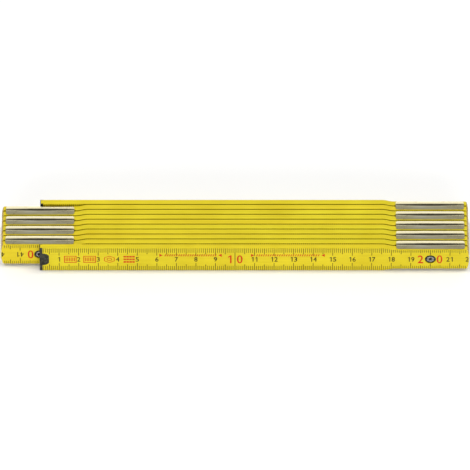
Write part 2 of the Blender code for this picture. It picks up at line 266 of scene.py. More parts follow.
class Nodes:
    """A short way to write a material's node tree."""

    def __init__(self, name, roughness, metallic=0.0):
        self.material = bpy.data.materials.new(name)
        self.material.use_nodes = True
        self.tree = self.material.node_tree
        self.shader = self.tree.nodes["Principled BSDF"]
        self.shader.inputs["Roughness"].default_value = roughness
        self.shader.inputs["Metallic"].default_value = metallic
        self.coords = self.tree.nodes.new("ShaderNodeTexCoord").outputs["Object"]

    def link(self, source, target):
        self.tree.links.new(source, target)

    def stretched(self, scale):
        mapping = self.tree.nodes.new("ShaderNodeMapping")
        mapping.inputs["Scale"].default_value = scale
        self.link(self.coords, mapping.inputs["Vector"])
        return mapping.outputs["Vector"]

    def noise(self, scale, stretch=(1, 1, 1), detail=3.0, roughness=0.55, distortion=0.0):
        node = self.tree.nodes.new("ShaderNodeTexNoise")
        node.inputs["Scale"].default_value = scale
        node.inputs["Detail"].default_value = detail
        node.inputs["Roughness"].default_value = roughness
        node.inputs["Distortion"].default_value = distortion
        self.link(self.stretched(stretch), node.inputs["Vector"])
        return node.outputs["Fac"]

    def ramp(self, value, stops):
        node = self.tree.nodes.new("ShaderNodeValToRGB")
        elements = node.color_ramp.elements
        while len(elements) < len(stops):
            elements.new(0.5)
        for element, (position, colour) in zip(elements, stops):
            element.position = position
            element.color = (*colour, 1)
        self.link(value, node.inputs["Fac"])
        return node.outputs["Color"]

    def levels(self, value, low, high, out_low=0.0, out_high=1.0):
        node = self.tree.nodes.new("ShaderNodeMapRange")
        node.inputs["From Min"].default_value = low
        node.inputs["From Max"].default_value = high
        node.inputs["To Min"].default_value = out_low
        node.inputs["To Max"].default_value = out_high
        self.link(value, node.inputs["Value"])
        return node.outputs["Result"]

    def mix(self, factor, a, b, blend="MIX"):
        node = self.tree.nodes.new("ShaderNodeMix")
        node.data_type = "RGBA"
        node.blend_type = blend
        # a mix node has a set of sockets for each type; 6, 7 and output 2 are the colours
        for socket, value in ((0, factor), (6, a), (7, b)):
            if isinstance(value, bpy.types.NodeSocket):
                self.link(value, node.inputs[socket])
            elif socket == 0:
                node.inputs[socket].default_value = value
            else:
                node.inputs[socket].default_value = (*value, 1)
        return node.outputs[2]

    def math(self, operation, a, b=None):
        node = self.tree.nodes.new("ShaderNodeMath")
        node.operation = operation
        for i, value in enumerate((a, b)):
            if isinstance(value, bpy.types.NodeSocket):
                self.link(value, node.inputs[i])
            elif value is not None:
                node.inputs[i].default_value = value
        return node.outputs[0]

    def axes(self):
        node = self.tree.nodes.new("ShaderNodeSeparateXYZ")
        self.link(self.coords, node.inputs[0])
        return node.outputs

    def colour(self, socket):
        self.link(socket, self.shader.inputs["Base Color"])

    def roughness(self, socket):
        self.link(socket, self.shader.inputs["Roughness"])

    def bump(self, height, distance, strength=1.0):
        node = self.tree.nodes.new("ShaderNodeBump")
        node.inputs["Strength"].default_value = strength
        node.inputs["Distance"].default_value = distance
        self.link(height, node.inputs["Height"])
        self.link(node.outputs["Normal"], self.shader.inputs["Normal"])


def lacquer_material():
    """Opaque yellow lacquer on beech: an even coat with faint grain, mottling and small dirt marks."""
    n = Nodes("yellow_lacquer", 0.4)
    n.shader.inputs["Specular IOR Level"].default_value = 0.15
    mottle = n.noise(55, detail=4)
    grain = n.noise(900, (0.035, 1, 1), 4, 0.6, 0.4)
    pores = n.noise(2600, (0.06, 1, 1), 2, 0.5)
    base = n.ramp(mottle, [(0.3, (0.645, 0.512, 0.012)), (0.7, (0.73, 0.600, 0.020))])
    streaks = n.ramp(grain, [(0.35, (0.93, 0.91, 0.78)), (0.62, (1, 1, 1))])
    base = n.mix(1.0, base, streaks, "MULTIPLY")
    from_lath_to_lath = n.noise(1, (3, 170, 9), detail=1)
    tint = n.ramp(from_lath_to_lath, [(0.35, (1.0, 0.965, 0.9)), (0.65, (0.955, 1.0, 1.0))])
    base = n.mix(1.0, base, tint, "MULTIPLY")
    marks = n.levels(n.noise(140, detail=6, roughness=0.7), 0.66, 0.74, 0.0, 0.28)
    base = n.mix(marks, base, (0.42, 0.32, 0.03))
    n.colour(base)
    n.roughness(n.levels(grain, 0.3, 0.7, 0.34, 0.5))
    n.bump(n.math("ADD", grain, pores), 0.02 * MM, 0.6)
    return n.material


def end_grain_material():
    """Bare beech where a lath is cut across: pores and growth rings, a little dirty."""
    n = Nodes("bare_end_grain", 0.75)
    rings = n.noise(700, (0.2, 1.6, 0.22), 3, 0.55, 0.8)
    pores = n.noise(9000, (0.3, 1, 1), 2, 0.6)
    wood = [(0.3, (0.30, 0.17, 0.07)), (0.5, (0.50, 0.33, 0.15)), (0.72, (0.62, 0.46, 0.21))]
    base = n.ramp(rings, wood)
    dots = n.ramp(pores, [(0.36, (0.55, 0.45, 0.35)), (0.5, (1, 1, 1))])
    n.colour(n.mix(0.6, base, dots, "MULTIPLY"))
    n.bump(pores, 0.04 * MM, 0.8)
    return n.material


def ink_material(name, colour, worn):
    """Printed ink that thins out a little where the coat below has texture."""
    n = Nodes(name, 0.45)
    n.shader.inputs["Specular IOR Level"].default_value = 0.15
    wear = n.levels(n.noise(2400, (0.6, 1, 1), 4, 0.65), 0.56, 0.8, 0.0, 0.6)
    n.colour(n.mix(wear, colour, worn))
    n.roughness(n.levels(wear, 0, 0.7, 0.4, 0.55))
    return n.material


def plated_material():
    """Zinc-plated spring steel: fine lengthwise drawing lines, soft cloudy tarnish and a warm cast, with
    painted shade darkening it towards the seam between a joint's two plates.
    """
    n = Nodes("zinc_plated_spring_steel", 0.28, 1.0)
    n.shader.inputs["Anisotropic"].default_value = 0.3
    lines = n.noise(2200, (0.02, 1, 1), 4, 0.65)
    cloud = n.noise(160, (0.6, 1, 1), 4, 0.6)
    tarnish = [(0.3, (0.67, 0.60, 0.37)), (0.52, (0.77, 0.715, 0.48)), (0.75, (0.84, 0.80, 0.60))]
    base = n.ramp(cloud, tarnish)
    shade = n.ramp(lines, [(0.32, (0.80, 0.79, 0.76)), (0.6, (1, 1, 1))])
    base = n.mix(1.0, base, shade, "MULTIPLY")
    x, y, _ = n.axes()
    half_length, seam = 17.5 * MM, 0.5 * MM
    along = n.math("MULTIPLY", x, 1 / half_length)
    bulge = n.math("SUBTRACT", 1.0, n.math("MULTIPLY", along, along))
    depth = n.math("SUBTRACT", y, n.math("MULTIPLY", bulge, seam))
    # painted shade in the seam: near black where the plate nears its base, in a lens that is widest at the
    # middle of its length
    painted_seam_shade = n.levels(depth, 0.1 * MM, 0.32 * MM, 0.92, 0.0)
    n.colour(n.mix(painted_seam_shade, base, (0.05, 0.042, 0.03)))
    n.roughness(n.math("ADD", n.levels(cloud, 0.3, 0.7, 0.2, 0.34), n.levels(lines, 0.3, 0.7, 0.0, 0.08)))
    n.bump(lines, 0.012 * MM, 0.5)
    return n.material


def rivet_material():
    """A rolled steel head: bright, with radial creases from the rolling tool; painted shade darkens the
    creases, the dimple and the head's outer edge.
    """
    n = Nodes("rolled_rivet_steel", 0.25, 1.0)
    x, _, z = n.axes()
    radius = n.math("SQRT", n.math("ADD", n.math("MULTIPLY", x, x), n.math("MULTIPLY", z, z)))
    spokes = n.tree.nodes.new("ShaderNodeTexNoise")
    spokes.inputs["Scale"].default_value = 4.5
    spokes.inputs["Detail"].default_value = 2
    outward = n.tree.nodes.new("ShaderNodeVectorMath")
    outward.operation = "NORMALIZE"
    n.link(n.stretched((1, 0, 1)), outward.inputs[0])
    n.link(outward.outputs[0], spokes.inputs["Vector"])
    ragged = n.noise(1500, roughness=0.6)
    crease = n.math("ADD", spokes.outputs["Fac"], n.math("MULTIPLY", ragged, 0.25))
    # painted shade: the creases are painted dark
    dark = n.levels(crease, 0.54, 0.72)
    # painted shade: near black in the dimple and at the head's outer edge, the steel's colour between them
    bare = n.math(
        "MULTIPLY",
        n.levels(radius, 0.75 * MM, 0.95 * MM),
        n.levels(radius, 1.8 * MM, 2.0 * MM, 1.0, 0.0),
    )
    base = n.mix(dark, (0.05, 0.05, 0.055), (0.46, 0.455, 0.44))
    n.colour(n.mix(bare, (0.025, 0.025, 0.02), base))
    n.roughness(n.levels(dark, 0, 1, 0.5, 0.2))
    n.bump(crease, 0.05 * MM, 0.6)
    return n.material


def blackened_material():
    """Burnished dark steel with scuffs that show brighter metal."""
    n = Nodes("blackened_steel", 0.4, 0.9)
    scuffs = n.noise(1400, (1, 1, 0.5), 5, 0.7, 0.6)
    cloud = n.noise(420, roughness=0.6)
    base = n.ramp(cloud, [(0.35, (0.022, 0.023, 0.018)), (0.7, (0.07, 0.07, 0.055))])
    n.colour(n.mix(n.levels(scuffs, 0.58, 0.74, 0.0, 0.7), base, (0.34, 0.34, 0.31)))
    n.roughness(n.levels(scuffs, 0.4, 0.7, 0.5, 0.26))
    n.bump(scuffs, 0.03 * MM, 0.5)
    return n.material


def paper_white_material():
    n = Nodes("studio_floor", 0.9)
    n.shader.inputs["Specular IOR Level"].default_value = 0.1
    tone = n.noise(6, detail=2)
    n.colour(n.ramp(tone, [(0.3, (0.92, 0.92, 0.92)), (0.7, (0.94, 0.94, 0.94))]))
    return n.material


# ---------------------------------------------------------------- laths


def half_width(x, capped=False):
    """Half the wood's width at an x along a lath. A capped lath's end at -X is square."""
    if capped and x < 0:
        return WIDTH / 2
    x = abs(x)
    if x >= SHOULDER_FROM:
        share = (x - SHOULDER_FROM) / (TIP_X - TIP_BULGE - SHOULDER_FROM)
        return NECK_HALF + (TIP_HALF - NECK_HALF) * share
    return WIDTH / 2 - (WIDTH / 2 - NECK_HALF) * smooth_step(1 - (SHOULDER_FROM - x) / SHOULDER_LENGTH)


def narrow_end(sign):
    """The upper half of a narrow end's outline, from the tip's middle inwards, as (x, z) points."""
    points = []
    inner = TIP_HALF - TIP_CORNER
    for step in range(TIP_STEPS + 1):
        z = inner * step / TIP_STEPS
        points.append((TIP_X - TIP_BULGE * (z / TIP_HALF) ** 2, z))
    start = Vector((TIP_X - TIP_BULGE * (inner / TIP_HALF) ** 2, inner))
    corner = Vector((TIP_X - CORNER_BULGE, TIP_HALF))
    end = Vector((corner.x - TIP_CORNER, half_width(corner.x - TIP_CORNER)))
    for step in range(1, TIP_STEPS + 1):
        t = step / TIP_STEPS
        spot = start * (1 - t) ** 2 + corner * 2 * t * (1 - t) + end * t * t
        points.append(tuple(spot))
    for step in range(SHOULDER_STEPS + 1):
        x = SHOULDER_FROM - SHOULDER_LENGTH * step / SHOULDER_STEPS
        points.append((x, half_width(x)))
    return [(sign * x, z) for x, z in points]


def lath_outline(capped):
    right = narrow_end(1)
    if capped:
        end = -PIVOT_X + CAP_WALL
        left = [(end, 0), (end, WIDTH / 2)]
    else:
        left = narrow_end(-1)
    upper = right + left[::-1]
    return upper + [(x, -z) for x, z in reversed(upper)][1:-1]


def add_outline(curve, outline):
    spline = curve.splines.new("POLY")
    spline.points.add(len(outline) - 1)
    for point, (x, z) in zip(spline.points, outline):
        point.co = (x, z, 0, 1)
    spline.use_cyclic_u = True


def rounded_slab(name, outline, thickness, rounding):
    """An (x, z) outline with its thickness along Y and all its edges rounded."""
    curve = bpy.data.curves.new(name, "CURVE")
    curve.dimensions = "2D"
    curve.fill_mode = "BOTH"
    curve.bevel_depth = rounding
    curve.bevel_resolution = 2
    curve.offset = -rounding
    curve.extrude = thickness / 2 - rounding
    add_outline(curve, outline)
    drawn = bpy.data.objects.new(name, curve)
    bpy.context.scene.collection.objects.link(drawn)
    flat = evaluated(drawn, name)
    shape = bmesh.new()
    shape.from_mesh(flat)
    bmesh.ops.remove_doubles(shape, verts=shape.verts, dist=SAME_POINT)
    bmesh.ops.dissolve_limit(shape, angle_limit=SAME_PLANE, verts=shape.verts, edges=shape.edges)
    bmesh.ops.rotate(shape, verts=shape.verts, matrix=Matrix.Rotation(math.pi / 2, 3, "X"))
    return to_mesh(shape, name)


def recess(sign, face):
    """The seat of a spring plate at the end of that sign and on that face (-1 is the front)."""
    inner, outer = sign * RECESS_FROM, sign * (TIP_X + MM)
    floor, outside = face * (THICKNESS / 2 - RECESS_DEPTH), face * THICKNESS
    low = (min(inner, outer), min(floor, outside), -WIDTH)
    high = (max(inner, outer), max(floor, outside), WIDTH)
    return box_mesh("recess", low, high)


def sink(sign, face):
    low, high = sorted((face * (THICKNESS / 2 - SINK_DEPTH), face * THICKNESS))
    return cylinder("sink", (sign * PIVOT_X, 0), SINK_RADIUS, low, high)


def bare_where_cut(mesh, slot):
    """Gives the faces across the ends the end-grain slot."""
    along = 0.75  # the least X that the normal of a face across an end has
    for face in mesh.polygons:
        x = abs(face.center.x)
        if abs(face.normal.x) > along and x > TIP_X - 2 * TIP_BULGE:
            face.material_index = slot


def cap_outline(grown, overhang):
    """A lip across the end with a round tab that is clipped at its tip."""
    start, reach = CAP_BOX[0].x - overhang, CAP_BOX[1].x + grown
    lip, centre = CAP_BOX[0].x + CAP_LIP + grown, CAP_BOX[0].x + CAP_TAB_CENTRE
    radius, side = CAP_TAB_RADIUS + grown, WIDTH / 2 + overhang
    first, last = math.acos((lip - centre) / radius), math.acos((reach - centre) / radius)
    arc = []
    for step in range(CAP_TAB_STEPS + 1):
        angle = first + (last - first) * step / CAP_TAB_STEPS
        arc.append((centre + radius * math.cos(angle), radius * math.sin(angle)))
    upper = [(start, side), (lip, side), *arc]
    return upper + [(x, -z) for x, z in reversed(upper)]


def cap_seat(face):
    """The shallow cap-shaped bed that lets an end cap into one face of the wood."""
    outline = cap_outline(SEAT_PLAY, MM)
    floor, outside = face * (THICKNESS / 2 - CAP_SHEET - SEAT_SINK), face * THICKNESS
    shape = bmesh.new()
    loops = [[shape.verts.new((x, y, z)) for x, z in outline] for y in (floor, outside)]
    for loop in loops:
        shape.faces.new(loop)
    for i in range(len(outline)):
        shape.faces.new((loops[0][i - 1], loops[0][i], loops[1][i], loops[1][i - 1]))
    return to_mesh(shape, "cap_seat")


def lath_mesh(capped):
    name = "capped_lath" if capped else "middle_lath"
    blank = rounded_slab(name, lath_outline(capped), THICKNESS, EDGE_ROUND)
    cutters = [recess(1, 1), sink(1, -1)]
    if capped:
        cutters += [cap_seat(-1), cap_seat(1)]
    else:
        cutters += [recess(-1, -1), sink(-1, 1)]
    return combined(blank, cutters, "DIFFERENCE")


def add_laths(lacquer, bare):
    """Odd laths face as built, even ones are turned end for end, and the last one is turned over."""
    for number in range(1, LATH_COUNT + 1):
        capped = number in (1, LATH_COUNT)
        mesh = lath_mesh(capped)
        if number == LATH_COUNT:
            turn = Matrix.Rotation(math.pi, 4, "X")
        elif number % 2 == 0:
            turn = Matrix.Rotation(math.pi, 4, "Y")
        else:
            turn = Matrix.Identity(4)
        mesh.transform(Matrix.Translation((0, LATH_Y[number], MID_Z)) @ turn)
        mesh.materials.clear()
        mesh.materials.append(lacquer)
        mesh.materials.append(bare)
        bare_where_cut(mesh, 1)
        soften(mesh, 40)
        tag = f"{number:02d}"
        lath = new_object(
            f"wood_{tag}", mesh, f"segment_{tag}", (), [f"lath_{tag}"]
        )
        weigh_normals(lath)


# ---------------------------------------------------------------- the printed scale


class Print:
    """Collects flat closed shapes on one face of one lath, in one ink."""

    def __init__(self, number, side, lift=0.0):
        self.number = number
        self.side = side  # -1 is the front face and 1 the back
        self.top = INK + lift
        self.points = []
        self.faces = []
        self.count = 0
        upright = (number % 2 == 1) == (side == -1)
        self.up = 1 if upright else -1
        self.right = self.up * -side
        self.surface = LATH_Y[number] + side * THICKNESS / 2

    def x_at(self, cm):
        """Where a mark of the scale lies along X. Odd laths count towards +X and even ones towards -X."""
        along = (cm - SCALE_PER_LATH * (self.number - 1)) * CM - PIVOT_X
        return along if self.number % 2 else -along

    def add(self, centre, x_scale, z_scale, shape):
        """A prism or hoop put on the face, its sides of -1 and 1 made the ink's root and its surface."""
        flat, faces = shape
        points = np.empty_like(flat)
        points[:, 0] = centre[0] + x_scale * flat[:, 0]
        points[:, 1] = self.surface + self.side * np.where(flat[:, 1] > 0, self.top, -INK_ROOT)
        points[:, 2] = MID_Z + centre[1] + z_scale * flat[:, 2]
        self.points.append(points)
        self.faces += [tuple(i + self.count for i in face) for face in faces]
        self.count += len(points)

    def bar(self, x, z_low, z_high, width):
        """An upright line at x; the heights are above the lath's centreline."""
        left, right = x - width / 2, x + width / 2
        self.slab([(left, z_low), (right, z_low), (right, z_high), (left, z_high)])

    def slab(self, outline):
        self.add((0, 0), 1, 1, prism(outline))

    def box(self, left, right, half_height, line):
        """The outline of a box about the lath's centreline."""
        loops = []
        for grown in (line / 2, -line / 2):
            x, z = (right - left) / 2 + grown, half_height + grown
            loops.append([(-x, -z), (x, -z), (x, z), (-x, z)])
        self.add(((left + right) / 2, 0), 1, 1, hoop(*loops))

    def ring(self, centre, radii, line, sides):
        """The outline of an ellipse, or of a polygon with few sides."""
        outer = oval([radius + line / 2 for radius in radii], sides)
        inner = oval([radius - line / 2 for radius in radii], sides)
        self.add(centre, 1, 1, hoop(outer, inner))

    def glyph(self, digit, x, height):
        """A digit centred on (x, centreline)."""
        self.add((x, 0), self.right * height, self.up * height, digits[digit])

    def write(self, text, x, height, align=0.0):
        """Digits in a row; align 0 centres them on x, 1 ends them there and -1 starts them there."""
        advance = (DIGIT_WIDTH + DIGIT_SPACE) * height
        first = (DIGIT_WIDTH * height - len(text) * advance + DIGIT_SPACE * height) / 2
        first -= align * (len(text) * advance - DIGIT_SPACE * height) / 2
        for i, character in enumerate(text):
            self.glyph(character, x + self.right * (first + i * advance), height)

    def make(self, name, material, slot):
        if not self.points:
            return
        mesh = bpy.data.meshes.new(name)
        mesh.from_pydata(np.concatenate(self.points).tolist(), [], self.faces)
        shape = bmesh.new()
        shape.from_mesh(mesh)
        mesh = to_mesh(shape, name)
        new_object(name, mesh, f"segment_{self.number:02d}", [material])


def prism(outline):
    """A closed shape from one flat outline: points as (x, side, z) with a side of -1 or 1, and faces."""
    n = len(outline)
    points = [(x, side, z) for side in (-1, 1) for x, z in outline]
    faces = [tuple(range(n)), tuple(range(n, 2 * n))]
    faces += [(i, (i + 1) % n, n + (i + 1) % n, n + i) for i in range(n)]
    return np.array(points, float), faces


def hoop(outer, inner):
    """A closed shape between two outlines with as many points each."""
    n = len(outer)
    points = [(x, side, z) for side in (-1, 1) for loop in (inner, outer) for x, z in loop]
    faces = []
    for i in range(n):
        j = (i + 1) % n
        for a, b in ((0, n), (2 * n, 3 * n), (0, 2 * n), (n, 3 * n)):
            faces.append((a + i, a + j, b + j, b + i))
    return np.array(points, float), faces


def oval(radii, sides, fullness=2.0):
    """An ellipse's outline, fuller at its corners when fullness is above 2."""
    points = []
    for i in range(sides):
        angle = 2 * math.pi * (i + 0.5) / sides
        c, s = math.cos(angle), math.sin(angle)
        x = math.copysign(abs(c) ** (2 / fullness), c)
        z = math.copysign(abs(s) ** (2 / fullness), s)
        points.append((radii[0] * x, radii[1] * z))
    return points


def letter(curve):
    """A flat curve or text as a thin closed shape, fitted to the digits' box about its centre."""
    sliver, almost_flat = 0.002, math.radians(2)
    curve.extrude = 0.1
    drawn = bpy.data.objects.new("digit", curve)
    bpy.context.scene.collection.objects.link(drawn)
    mesh = evaluated(drawn, "digit")
    shape = bmesh.new()
    shape.from_mesh(mesh)
    bpy.data.meshes.remove(mesh)
    bmesh.ops.remove_doubles(shape, verts=shape.verts, dist=sliver)
    bmesh.ops.dissolve_degenerate(shape, dist=sliver, edges=shape.edges)
    bmesh.ops.dissolve_limit(shape, angle_limit=almost_flat, verts=shape.verts, edges=shape.edges)
    shape.verts.index_update()
    points = np.array([v.co for v in shape.verts])
    faces = [tuple(v.index for v in f.verts) for f in shape.faces]
    shape.free()
    low, high = points.min(0), points.max(0)
    middle, size = (low + high) / 2, high - low
    local = np.zeros_like(points)
    local[:, 0] = (points[:, 0] - middle[0]) / size[0] * DIGIT_WIDTH
    local[:, 1] = np.sign(points[:, 2] - middle[2])
    local[:, 2] = (points[:, 1] - middle[1]) / size[1]
    return local, faces


def four():
    """The digit 4, which Blender's font can't thicken without closing its counter."""
    curve = bpy.data.curves.new("digit", "CURVE")
    curve.dimensions = "2D"
    curve.fill_mode = "BOTH"
    stem_left, stem_right, bar_low, bar_high = 0.05, 0.18, -0.19, -0.05
    outline = [(stem_left, -0.5), (stem_right, -0.5), (stem_right, bar_low), (0.25, bar_low)]
    outline += [(0.25, bar_high), (stem_right, bar_high), (stem_right, 0.5), (0.1, 0.5)]
    outline += [(-0.25, -0.08), (-0.25, bar_low), (stem_left, bar_low)]
    counter = [(-0.11, bar_high), (stem_left, bar_high), (stem_left, 0.2)]
    add_outline(curve, outline)
    add_outline(curve, counter)
    return curve


def digit_shapes():
    """Each digit as a thin closed shape one unit tall about its centre."""
    stroke, right, sides, fullness = 0.135, 0.14, 36, 2.3
    one = [(right, -0.5), (right, 0.5), (0.04, 0.5), (-0.17, 0.33), (-0.17, 0.19)]
    one += [(right - stroke, 0.33), (right - stroke, -0.5)]
    half = DIGIT_WIDTH / 2
    outer = oval((half, 0.5), sides, fullness)
    inner = oval((half - stroke, 0.5 - stroke), sides, fullness)
    shapes = {
        "0": hoop(outer, inner),
        "1": prism(one),
        "4": letter(four()),
    }
    for character in "2356789":
        text = bpy.data.curves.new("digit", "FONT")
        text.body = character
        text.size = 1
        text.resolution_u = 5
        text.offset = 0.012
        shapes[character] = letter(text)
    return shapes


digits = digit_shapes()


def scale_span(number, side):
    """The stretch of scale on a lath's face, in cm, and the pivot mark whose rivet shows on it."""
    start, end = SCALE_PER_LATH * (number - 1), SCALE_PER_LATH * number
    low, high, rivet = start, end, None
    for cm, joint_side in ((start, 1), (end, -1)):
        joint = number - 1 if cm == start else number
        if not 1 <= joint < LATH_COUNT:
            continue
        outer = side == joint_side
        reach = OVER_PIVOT if outer else -RECESSED
        rivet = cm if outer else rivet
        low, high = (cm - reach, high) if cm == start else (low, cm + reach)
    if number == 1:
        low = CAP_HIDES
    if number == LATH_COUNT:
        high = end - CAP_HIDES
    return low, high, rivet


def draw_ticks(ink, low, high, rivet):
    """Ticks along both edges, and a line right across at a decade that isn't on a rivet."""
    slack = 1e-6
    for mm in range(math.ceil(low * 10 - slack), math.floor(high * 10 + slack) + 1):
        cm = mm / 10
        x = ink.x_at(cm)
        edge = half_width(x, ink.number in (1, LATH_COUNT)) - EDGE_ROUND + TICK_PAST_FLAT
        length, width = MM_TICK, THIN_LINE
        if mm % 10 == 0:
            length, width = CM_TICK, THICK_LINE
        elif mm % 5 == 0:
            length, width = HALF_CM_TICK, THICK_LINE
        if mm % 100 == 0 and cm != rivet:
            ink.bar(x, -edge, edge, THICK_LINE)
            continue
        inner = WIDTH / 2 - length
        if mm % 100 == 0:
            inner = RIVET_TICK_FROM
        if mm % 100 in (5, 95) and rivet is not None and abs(cm - rivet) < 1:
            inner = WIDTH / 2 - MM_TICK - BESIDE_DECADE
        ink.bar(x, inner, edge, width)
        ink.bar(x, -edge, -inner, width)


def draw_numbers(black, red, low, high, rivet):
    """Centimetres in black, and decades in red around their rivet or their line."""
    for cm in range(math.ceil(low), math.floor(high) + 1):
        text, x = str(cm), black.x_at(cm)
        if cm % 10 == 0:
            before, after, height = 3.65 * MM, 3.25 * MM, DECADE_NUMERAL
            if cm >= 100:
                before, after, height = 3.1 * MM, 3.1 * MM, DECADE_NUMERAL_FROM_100
            if cm != rivet:
                before, after = 1.15 * MM, 1 * MM
            red.write(text[:-1], x - red.right * before, height, 1)
            red.write(text[-1], x + red.right * after, height, -1)
            continue
        black.write(text, x, NUMERAL if cm < 100 else NUMERAL_FROM_100)


def draw_last_number(ink, low, high, rivet):
    """The tip cuts the number two past a pivot: only the digits that fit on the wood are printed."""
    most_squeezed = 0.4 * MM
    for cm, towards in ((math.floor(low), -1), (math.ceil(high), 1)):
        if rivet is None or cm != rivet + 2 * towards:
            continue
        text = str(cm)
        height = NUMERAL if cm < 100 else NUMERAL_FROM_100
        advance = (DIGIT_WIDTH + DIGIT_SPACE) * height
        for i, character in enumerate(text):
            x = ink.x_at(cm) + ink.right * advance * (i - (len(text) - 1) / 2)
            overhang = max(abs(x) + DIGIT_WIDTH * height / 2 - (TIP_X - EDGE_ROUND), 0)
            if overhang < most_squeezed:
                ink.glyph(character, x - math.copysign(overhang, x), height)


def draw_red_marks(ink):
    """Plain shapes where such a rule has its class and approval marks, and dashes where it has wording."""
    box_length, bars, bar_half = 0.6, 6, 1.4 * MM
    for start in (1.27, 2.26):
        left, right = ink.x_at(start), ink.x_at(start + box_length)
        ink.box(left, right, 2.25 * MM, RED_LINE)
        for i in range(1, bars + 1):
            x = left + (right - left) * i / (bars + 1)
            ink.bar(x, -bar_half, bar_half, RED_LINE)
    for radii in ((2.9 * MM, 2.3 * MM), (1.3 * MM, 1.0 * MM)):
        ink.ring((ink.x_at(3.57), 0), radii, RED_LINE, 6)
    dot_pitch, dot_half = 1.5 * MM, 0.55 * MM
    for row in (1.9 * MM, 0, -1.9 * MM):
        for i in range(4):
            x = ink.x_at(4.58) + (i - 1.5) * dot_pitch
            ink.bar(x, row - dot_half, row + dot_half, 3 * RED_LINE)
    for start, end in ((6.13, 9.32), (10.82, 14.59)):
        draw_dashes(ink, start, end, 2.9 * MM)


def draw_dashes(ink, start, end, z):
    """A row of short slanted dashes between two arrowheads that point at it."""
    left, right = ink.x_at(start), ink.x_at(end)
    head, point, margin = 1.1 * MM, 1.7 * MM, 2.5 * MM
    ink.slab([(left, z - head), (left + point, z), (left, z + head)])
    ink.slab([(right, z - head), (right, z + head), (right - point, z)])
    pitch, wide, lean = 1.15 * MM, 0.46 * MM, 0.5 * MM
    low, high = z - 0.75 * MM, z + 0.75 * MM
    run = right - left - 2 * margin
    count = int(run / pitch)
    for i in range(count):
        x = left + margin + run * (i + 0.5) / count
        ink.slab([(x - lean, low), (x - lean + wide, low), (x + lean, high), (x + lean - wide, high)])


def add_print(black_ink, red_ink):
    for number in range(1, LATH_COUNT + 1):
        for side, name in ((-1, "front"), (1, "back")):
            black, red = Print(number, side), Print(number, side, RED_LIFT)
            low, high, rivet = scale_span(number, side)
            draw_ticks(black, low, high, rivet)
            draw_numbers(black, red, low, high, rivet)
            draw_last_number(black, low, high, rivet)
            if number == 1 and side == -1:
                draw_red_marks(red)
            # the record has no slot for ink
            black.make(f"scale_{name}_{number:02d}", black_ink, "blackened_steel")
            red.make(f"decades_{name}_{number:02d}", red_ink, "yellow_lacquered_wood")


# ---------------------------------------------------------------- spring joints


def plate_profile(edge, base):
    """Half of a spring plate's outer section, from its middle to its free edge, as (y, z) points."""
    half, bend = PLATE_BOX[1].z - MID_Z, PLATE_BEND
    points = [(base, 0), (base, 0.35 * half), (base, 0.7 * half), (base, half - bend)]
    for step in range(1, ARC_STEPS + 1):
        angle = math.pi / 2 * step / ARC_STEPS
        points.append((base + bend * (1 - math.cos(angle)), half - bend + bend * math.sin(angle)))
    shortest_run = 0.1 * MM
    run = max(edge - base - bend, shortest_run)
    for step in range(1, ARC_STEPS + 1):
        t = step / ARC_STEPS
        points.append((base + bend + run * t, half - FLANGE_LEAN * (0.6 * t + 0.4 * t * t)))
    return points


def plate_mesh():
    """A bowed sheet with a flange along each long edge, about the joint's axis and standing towards +Y."""
    half_length = (PLATE_BOX[1].x - PLATE_BOX[0].x) / 2
    pivot = PIVOTS[1]
    full_edge = PLATE_BOX[1].y - pivot.y
    lowest = PLATE_BOX[0].y - pivot.y
    corner = FLANGE_CORNER
    stations = []
    for i in range(ARC_STEPS + 1):
        stations.append(half_length - corner * (1 - math.cos(math.pi / 2 * i / ARC_STEPS)))
    stretches = 8
    stations += [half_length * (1 - i / stretches) for i in range(1, stretches)] + [0]
    stations = sorted({round(u, 7) for u in stations}, reverse=True)
    stations += [-u for u in reversed(stations[:-1])]
    shape = bmesh.new()
    rows = []
    for u in stations:
        past = max(abs(u) - (half_length - corner), 0) / corner
        edge = full_edge - corner * (1 - math.sqrt(max(1 - past * past, 0)))
        base = lowest + PLATE_BOW * (1 - (u / half_length) ** 2)
        upper = plate_profile(edge, base)
        section = upper[::-1] + [(y, -z) for y, z in upper[1:]]
        rows.append([shape.verts.new((u, y, z)) for y, z in section])
    for row, following in zip(rows, rows[1:]):
        for i in range(len(row) - 1):
            shape.faces.new((row[i], following[i], following[i + 1], row[i + 1]))
    mesh = bpy.data.meshes.new("plate")
    shape.to_mesh(mesh)
    shape.free()
    drawn = temporary(mesh)
    solidify = drawn.modifiers.new("sheet", "SOLIDIFY")
    solidify.thickness = SHEET
    solidify.offset = -1
    solidify.use_even_offset = True
    solid = evaluated(drawn, "plate")
    hole = cylinder("hole", (0, 0), PLATE_BORE, -MM, MM)
    return soften(combined(solid, [hole], "DIFFERENCE"), 50)


def rivet_mesh():
    """A rivet whose rolled heads have a dimple, about the joint's axis."""
    box_low, box_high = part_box("rivet_01")
    top = (box_high.y - box_low.y) / 2
    rim, thickness, shank = HEAD_RIM, 0.32 * MM, 1.5 * MM
    upper = [(0, top - 0.5 * MM), (0.35 * MM, top - 0.48 * MM), (0.6 * MM, top - 0.36 * MM)]
    upper += [(0.78 * MM, top - 0.14 * MM)]
    middle, half = (rim + DIMPLE) / 2, (rim - DIMPLE) / 2
    steps = 10
    for step in range(1, steps):
        angle = math.pi * (1 - step / steps)
        height = top - HEAD_ROLL + HEAD_ROLL * math.sin(angle) ** 0.7
        upper.append((middle + half * math.cos(angle), height))
    upper += [(rim, top - 0.22 * MM), (rim, top - thickness), (shank, top - thickness)]
    lower = [(radius, -y) for radius, y in reversed(upper)]
    return soften(turned("rivet", upper + lower, 64), 45)


def washer_mesh():
    low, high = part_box("washer_back_01")
    half, outer, inner = (high.y - low.y) / 2, (high.x - low.x) / 2, WASHER_BORE
    soft = WASHER_ROUND
    loop = [(inner, half), (outer - soft, half), (outer, half - soft), (outer, -half + soft)]
    loop += [(outer - soft, -half), (inner, -half)]
    return soften(turned("washer", loop + loop[:1], 64), 35)


